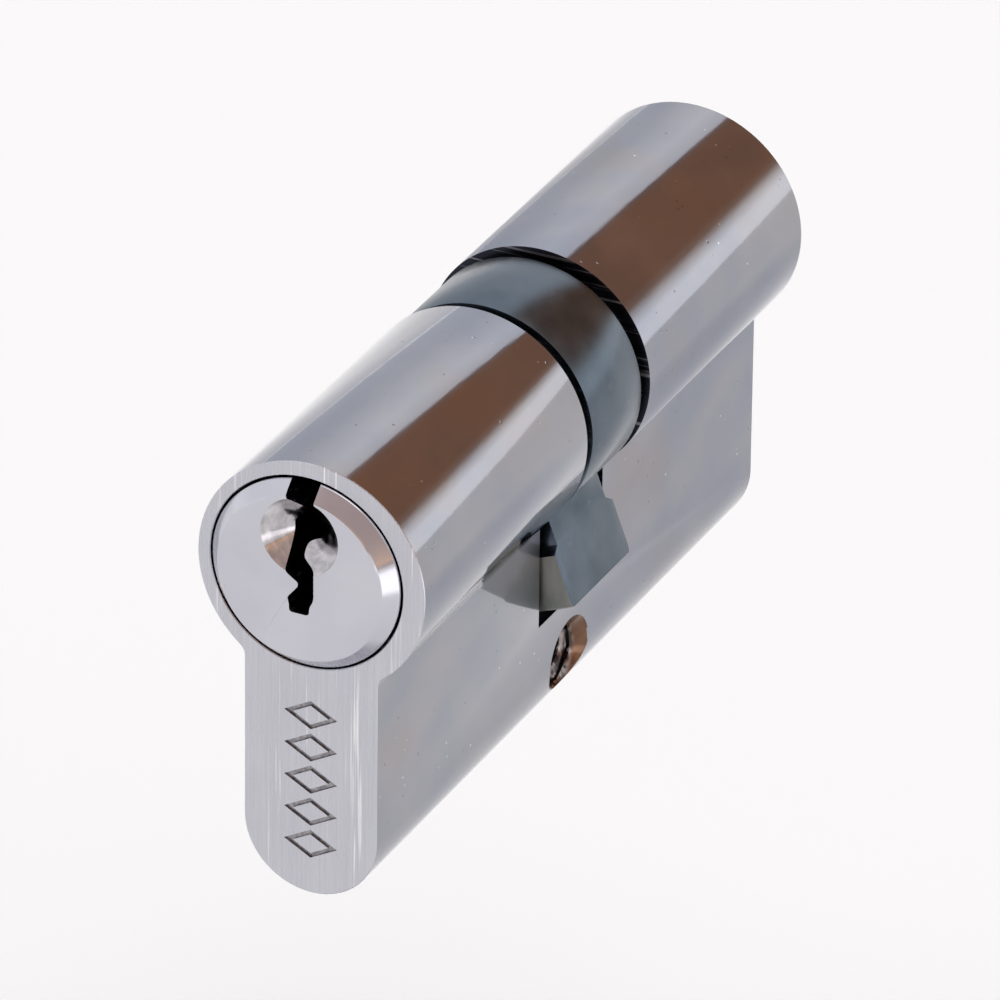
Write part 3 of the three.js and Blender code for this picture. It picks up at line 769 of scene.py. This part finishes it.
def plug(name):
    face = -LENGTH - HEAD_PROUD
    back = -LENGTH + HEAD_SEAT
    end = -CAM_WALL_HALF - 0.05
    groove_from, groove_to = -CLIP_OUTER_Y - CLIP_GAP, -CLIP_INNER_Y + CLIP_GAP
    e = PLUG_EDGE
    face_r = HEAD_R - HEAD_CHAMFER
    profile = [
        (0, face), (face_r - e, face), (face_r + e, face + e),
        (HEAD_R - e, -LENGTH - e), (HEAD_R, -LENGTH + e), (HEAD_R, back), (PLUG_R, back),
        (PLUG_R, groove_from), (CLIP_GROOVE_R, groove_from), (CLIP_GROOVE_R, groove_to), (PLUG_R, groove_to),
        (PLUG_R, end - PLUG_END_EDGE), (PLUG_R - PLUG_END_EDGE, end), (0, end),
    ]
    obj = turned(name, profile, offset=AXIS)
    front, entry_floor = face - BEYOND, face + ENTRY_DEPTH
    slope = (ENTRY_R - ENTRY_FLOOR_R) / ENTRY_DEPTH
    entry = [(0, front), (ENTRY_R + slope * BEYOND, front), (ENTRY_FLOOR_R, entry_floor), (0, entry_floor)]
    cutters = [
        prism("keyway", keyway_outline(), front, BEYOND, AXIS),
        turned("entry", entry, offset=(BORE_X, 0, BORE_Z + ENTRY_Z), sides=2 * SMALL),
        prism("driver_slot", driver_outline(DRIVER_GAP), end - DRIVER_SLOT, BEYOND, AXIS),
    ]
    foot = -PLUG_R - BEYOND
    hole = [(0, foot), (CHAMBER_R, foot), (CHAMBER_R, CHAMBER_RISE), (0, CHAMBER_RISE)]
    for place_y in PIN_PLACES:
        cutters.append(turned("pin_hole", hole, "Z", (BORE_X, -place_y, BORE_Z), SMALL))
    boolean(obj, cutters)

    def on_mouth(x, y, z):
        return y < face + 0.02 and math.hypot(x - BORE_X, z - BORE_Z) < face_r - 2 * e

    break_edges(obj, MOUTH_EDGE, on_mouth)
    smooth(obj, 14)

    def finish_of(c, n):
        r = math.hypot(c.x - BORE_X, c.z - BORE_Z)
        entry_r = math.hypot(c.x - BORE_X, c.z - BORE_Z - ENTRY_Z)
        if face + 0.03 < c.y < entry_floor and entry_r < ENTRY_R and 0.3 < -n.y < 0.9:
            return drilled
        past_entry = c.y > face + ENTRY_DEPTH * 0.98 and r < PLUG_R - 0.03
        on_keyway_wall = abs(c.x - BORE_X) < KEYWAY_HALF + 0.03 and abs(n.y) < 0.1
        in_keyway = c.y > face + 0.1 and on_keyway_wall and r < HEAD_R - 0.05
        # The keyway's walls and the plug behind the key entry take the nearly black milled finish: painted
        # shade in these hollows.
        return milled_in_painted_shade if past_entry or in_keyway or c.y > back - 0.05 else polished

    return paint(obj, [polished, milled_in_painted_shade, drilled], finish_of)


def clip(name):
    angles = (90 + CLIP_OPENING / 2, 450 - CLIP_OPENING / 2)

    def outline(inset):
        outer = arc(0, 0, CLIP_R - inset, *angles)
        return outer + arc(0, 0, CLIP_GROOVE_R + CLIP_GAP + inset, *angles[::-1])

    sections = [
        (-CLIP_OUTER_Y, CLIP_EDGE), (-CLIP_OUTER_Y + CLIP_EDGE, 0),
        (-CLIP_INNER_Y - CLIP_EDGE, 0), (-CLIP_INNER_Y, CLIP_EDGE),
    ]
    obj = loft(name, [(y, outline(inset)) for y, inset in sections], AXIS)
    return paint(smooth(obj), [spring_wire])


def plugs_and_clips():
    for side in ("outer", "inner"):
        body_name, clip_node = f"{side}_plug", f"{side}_plug_clip"
        pieces = [
            (plug(f"{body_name}_detail"), body_name, "polished_nickel"),
            (clip(f"{clip_node}_detail"), clip_node, "spring_steel"),
        ]
        for obj, node, slot in pieces:
            if side == "inner":
                turn_half(obj)
            place(obj, body_name, slot, node)


# ---- Cam ----

def lever():
    """The lever, straight down: a bar as wide as the ring, and a wider pad with rounded corners."""
    tip = math.degrees(math.acos(LEVER_HALF / LEVER_R))
    top = -RING_R + LEVER_ROOT
    outline = [(LEVER_HALF, top), (-LEVER_HALF, top)] + arc(0, 0, LEVER_R, 180 + tip, 360 - tip)
    obj = prism("cam_detail", outline, -RING_HALF, RING_HALF)

    shoulder, wide = -LEVER_SHOULDER, PAD_HALF
    inner_y, inner_z = RING_HALF - PAD_OVERLAP[0], shoulder + PAD_OVERLAP[1]
    corner_y, corner_z = wide - PAD_CORNER, -LEVER_R + PAD_CORNER
    yz = [(-inner_y, inner_z), (-RING_HALF, shoulder), (-wide, shoulder - PAD_SLOPE)]
    yz += arc(-corner_y, corner_z, PAD_CORNER, 180, 270, 32)
    yz += arc(corner_y, corner_z, PAD_CORNER, 270, 360, 32)
    yz += [(wide, shoulder - PAD_SLOPE), (RING_HALF, shoulder), (inner_y, inner_z)]
    bm = bmesh.new()
    join_rings(bm, [[bm.verts.new(point(x, y, z)) for y, z in yz] for x in (-LEVER_HALF, LEVER_HALF)])
    pad = from_bmesh("lever_pad", bm)
    past = PAD_HALF + BEYOND
    sweep = turned("sweep", [(0, -past), (LEVER_R, -past), (LEVER_R, past), (0, past)])
    boolean(pad, [sweep], "INTERSECT")
    return boolean(obj, [pad], "UNION")


def cam_bore(way):
    """One plug's hole in the ring, flared at its mouth."""
    floor, mouth, past = way * CAM_WALL_HALF, way * RING_HALF, way * (RING_HALF + BEYOND)
    profile = [
        (0, floor), (BORE_R, floor), (BORE_R, mouth - RING_FLARE * way),
        (BORE_R + RING_FLARE + BEYOND, past), (0, past),
    ]
    return turned("bore", profile, offset=AXIS)


def cam():
    obj = lever()
    lean = Matrix.Rotation(math.radians(-LEVER_LEAN), 4, "Y")
    obj.data.transform(Matrix.Translation(point(*AXIS)) @ lean)
    ring = [(0, -RING_HALF), (RING_R, -RING_HALF), (RING_R, RING_HALF), (0, RING_HALF)]
    boolean(obj, [turned("ring", ring, offset=RING_CENTRE)], "UNION")
    break_edges(obj, CAM_EDGE, lambda x, y, z: True)
    reach = RING_HALF + BEYOND
    window = prism("window", driver_outline(DRIVER_GAP), -reach, reach, AXIS)
    boolean(obj, [cam_bore(1), cam_bore(-1), window])
    smooth(obj)

    def finish_of(c, n):
        beyond_ring = math.hypot(c.x - RING_CENTRE[0], c.z - RING_CENTRE[2]) > RING_R + 0.3
        # Lever faces beyond the ring, out of the slot, take the lighter steel: painted light, a lit copy of
        # the oxide.
        return lit_lever_face if beyond_ring and abs(n.y) > 0.6 else oxide

    paint(obj, [oxide, lit_lever_face], finish_of)
    return place(obj, "cam", "sintered_steel", "cam")


# ---- Springs and clutch ----

def coil(name, low, high, axis, wire, turns):
    """A compression spring that fills a CAD node's box, with closed end turns."""
    low, high = Vector(low) / MM, Vector(high) / MM
    along = {"Y": 1, "Z": 2}[axis]
    centre = (low + high) / 2
    radius = max(high[i] - low[i] for i in range(3) if i != along) / 2 - wire
    start, end = low[along] + wire, high[along] - wire
    steps, around = turns * 30, 10
    total = turns + 2 * CLOSED_TURNS
    closed = 2 * wire
    bm = bmesh.new()
    rings = []
    for s in range(steps + 1):
        turn = total * s / steps
        head = min(turn / CLOSED_TURNS, 1.0) * closed
        tail = min((total - turn) / CLOSED_TURNS, 1.0) * closed
        rise = max(0.0, min(1.0, (turn - CLOSED_TURNS) / turns))
        height = start + head + (end - start - 2 * closed) * rise + closed - tail
        a = 2 * math.pi * turn
        ring = []
        for k in range(around):
            b = 2 * math.pi * k / around
            r = radius + wire * math.cos(b)
            u, v, w = r * math.cos(a), r * math.sin(a), height + wire * math.sin(b)
            at = (u + centre.x, v + centre.y, w) if axis == "Z" else (u + centre.x, w, v + centre.z)
            ring.append(bm.verts.new(point(*at)))
        rings.append(ring)
    join_rings(bm, rings)
    return paint(smooth(from_bmesh(name, bm), 50), [spring_wire])


def clutch():
    for side, face, way in DRIVER_FACES:
        low, high = sorted((face, face + way * DRIVER_LENGTH))
        e = DRIVER_EDGE
        sections = [(low, -e), (low + e, 0), (high - e, 0), (high, -e)]
        node = f"{side}_clutch_driver"
        obj = loft(f"{node}_detail", [(y, driver_outline(grown)) for y, grown in sections], AXIS)
        before, floor = face - BEYOND * way, face + POCKET_DEPTH * way
        pocket = [(0, before), (POCKET_R, before), (POCKET_R, floor), (0, floor)]
        boolean(obj, [turned("pocket", pocket, offset=AXIS, sides=SMALL)])
        paint(smooth(obj), [ground_steel])
        place(obj, node, "clutch_steel", node)
    low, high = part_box("clutch_spring")
    obj = coil("clutch_spring_detail", low, high, "Y", CLUTCH_WIRE, CLUTCH_TURNS)
    place(obj, "outer_clutch_driver", "spring_steel", "clutch_spring")


# ---- Pins ----

def round_pin(node, profile_of, material, slot, body_name):
    """A turned piece that fills a CAD node's box; profile_of(radius, low, high) gives its shape."""
    low, high = (Vector(corner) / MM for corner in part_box(node))
    centre = (low + high) / 2
    profile = profile_of((high.x - low.x) / 2, low.z, high.z)
    obj = turned(f"{node}_detail", profile, "Z", (centre.x, centre.y, 0), 40)
    paint(smooth(obj, 35), [material])
    return place(obj, body_name, slot, node)


def key_pin(r, low, high):
    """Chamfered foot and a bullet point, in shares of the radius."""
    return [(0, low), (0.66 * r, low), (r, low + 0.3 * r), (r, high - 0.78 * r), (0.93 * r, high - 0.7 * r),
            (0.3 * r, high - 0.06 * r), (0.2 * r, high), (0, high)]


def driver_pin(r, low, high):
    e = 0.12 * r
    return [(0, low), (r - e, low), (r, low + e), (r, high - e), (r - e, high), (0, high)]


def chamber_plug(r, low, high):
    """A short cylinder with a dimple in its foot."""
    e = 0.08 * r
    dimple = [(0, low + 0.35), (0.55 * r, low + 0.1), (0.6 * r, low)]
    return dimple + [(r - e, low), (r, low + e), (r, high - e), (r - e, high), (0, high)]


def pin_spring(side, i):
    """The spring under a driver pin, which gets shorter as the pin goes down."""
    node = f"{side}_pin_spring_{i}"
    low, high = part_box(node)
    obj = coil(f"{node}_detail", low, high, "Z", PIN_WIRE, PIN_TURNS)
    place(obj, "cylinder_body", "spring_steel", node)
    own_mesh(obj)


def pins():
    for side in ("outer", "inner"):
        for i in range(1, len(PIN_PLACES) + 1):
            key_node, driver_node = f"{side}_key_pin_{i}", f"{side}_driver_pin_{i}"
            round_pin(key_node, key_pin, turned_brass, "pin_brass", key_node)
            round_pin(driver_node, driver_pin, turned_silver, "nickel_silver", driver_node)
            round_pin(f"{side}_chamber_plug_{i}", chamber_plug, turned_brass, "pin_brass", "cylinder_body")
            pin_spring(side, i)


# ---- Stage, in metres ----

CAMERA_TURN = 25.643
CAMERA_RISE = 28.52
CAMERA_ROLL = 0.668
CAMERA_DISTANCE = 0.8118
CAMERA_TARGET = (0.0, -0.000978, -0.008269)
CAMERA_LENS = 422.8

FLOOR_DROP = 0.045  # below the foot
FLOOR_Z = FOOT_Z * MM - FLOOR_DROP
FLOOR_HALF = 6.0
CARD_LIFT = 0.001
CARD_X = (0.15, 0.9)
CARD_Y = (-0.45, -0.05)
CARD_GLOW = (0.95, 0.94, 0.96, 1.0)

# Colours of the room. The back wall's go by the angle round Y from +X up, the others by height, 0 to 1.
BRIGHT = (1.5, 1.5, 1.52)
BROWN = (0.36, 0.185, 0.115)
DIM = (0.95, 0.94, 0.97)
TOP = (2.0, 2.0, 2.02)
BACK_WALL = (
    (0, BRIGHT), (14, BRIGHT), (21, (1.1, 1.05, 1.03)), (29, (0.42, 0.27, 0.20)),
    (36, BROWN), (88, BROWN), (93.5, (0.30, 0.20, 0.17)), (95, (1.02, 1.0, 1.04)),
    (112, (1.12, 1.13, 1.17)), (150, (0.86, 0.88, 0.93)), (180, (0.80, 0.82, 0.87)),
)
DOME = ((0.0, (1.05, 1.05, 1.08)), (0.3, DIM), (0.80, DIM), (0.88, TOP), (1.0, TOP))
WARM_WALL = (
    (0.0, (0.25, 0.19, 0.17)), (0.02, (0.30, 0.22, 0.19)), (0.05, (1.0, 0.64, 0.43)),
    (0.12, (0.78, 0.55, 0.43)), (0.35, (0.58, 0.45, 0.40)), (0.84, (0.56, 0.43, 0.40)),
)


def camera():
    turn, rise, roll = (math.radians(a) for a in (CAMERA_TURN, CAMERA_RISE, CAMERA_ROLL))
    level = math.cos(rise)
    back = Vector((math.sin(turn) * level, -math.cos(turn) * level, math.sin(rise)))
    right = Vector((math.cos(turn), math.sin(turn), 0.0))
    up = back.cross(right)
    tilted_right = right * math.cos(roll) + up * math.sin(roll)
    tilted_up = up * math.cos(roll) - right * math.sin(roll)
    data = bpy.data.cameras.new("camera")
    data.sensor_width = 36.0
    data.lens = CAMERA_LENS
    data.clip_start, data.clip_end = 0.01, 20.0
    obj = new_object("camera", data)
    rotation = Matrix((tilted_right, tilted_up, back)).transposed().to_4x4()
    obj.matrix_world = Matrix.Translation(Vector(CAMERA_TARGET) + back * CAMERA_DISTANCE) @ rotation
    bpy.context.scene.camera = obj


def room_light():
    """A soft white dome, a wall behind with a brown panel in it, and a warm wall ahead and to the right."""
    world = bpy.data.worlds.new("studio")
    bpy.context.scene.world = world
    world.use_nodes = True
    n = Tree(world.node_tree)
    x, y, z = n.apart(n.add("ShaderNodeTexCoord").outputs["Generated"])
    turn = n.math("MULTIPLY", n.math("ARCTAN2", z, x), 1 / math.pi)
    back_wall = n.ramp(turn, [(angle / 180, color) for angle, color in BACK_WALL])
    around = n.mix(n.span(y, 0.35, 0.5), n.ramp(z, DOME), back_wall)
    ahead = n.span(y, -0.3, -0.4)
    to_right = n.span(x, -0.36, -0.22)
    whole = n.mix(n.math("MULTIPLY", ahead, to_right), around, n.ramp(z, WARM_WALL))
    background = n.tree.nodes["Background"]
    n.link(whole, background.inputs["Color"])
    background.inputs["Strength"].default_value = BRIGHTEST


def sheet(name, x_range, y_range, z):
    """A level rectangle."""
    bm = bmesh.new()
    (x0, x1), (y0, y1) = x_range, y_range
    bm.faces.new([bm.verts.new(corner) for corner in ((x0, y0, z), (x1, y0, z), (x1, y1, z), (x0, y1, z))])
    return from_bmesh(name, bm)


def pale_floor():
    """Pale, with a painted contact shadow under the outer end and a fainter painted shade behind the piece
    on the right.
    """
    n = Nodes("pale_floor")
    # Painted contact shadow on the floor under the outer end.
    under = n.span(n.spot(n.stretch(26.0, 31.0, 0.0, shift=(0.23, 0.65, 0.0))), 0.0, 0.6)
    # Fainter painted shade on the floor behind the piece on the right.
    shade_at_right = n.span(n.spot(n.stretch(16.6, 16.6, 0.0, shift=(-1.03, -1.83, 0.0))), 0.0, 0.7)
    tone = n.mix(shade_at_right, (0.90, 0.925, 0.93), (0.76, 0.80, 0.84))
    color = n.mix(under, tone, (0.40, 0.39, 0.40))
    obj = sheet("floor", (-FLOOR_HALF, FLOOR_HALF), (-FLOOR_HALF, FLOOR_HALF), FLOOR_Z)
    obj.data.materials.append(n.finish(color, 0.9, metallic=0.0))


def white_card():
    """A glowing card on the floor, outside the picture, that the plug's chamfer reflects."""
    n = Nodes("white_card")
    n.shader.inputs["Emission Color"].default_value = CARD_GLOW
    n.shader.inputs["Emission Strength"].default_value = 1.0
    fibres = n.noise(n.stretch(900, 900, 900))
    obj = sheet("white_card", CARD_X, CARD_Y, FLOOR_Z + CARD_LIFT)
    obj.data.materials.append(
        n.finish(n.mix(fibres, (0.82, 0.82, 0.82), (0.86, 0.86, 0.86)), 0.9, metallic=0.0))


camera()
room_light()
pale_floor()
white_card()
bpy.context.scene.view_settings.view_transform = "Standard"
body()
plugs_and_clips()
cam()
clutch()
pins()
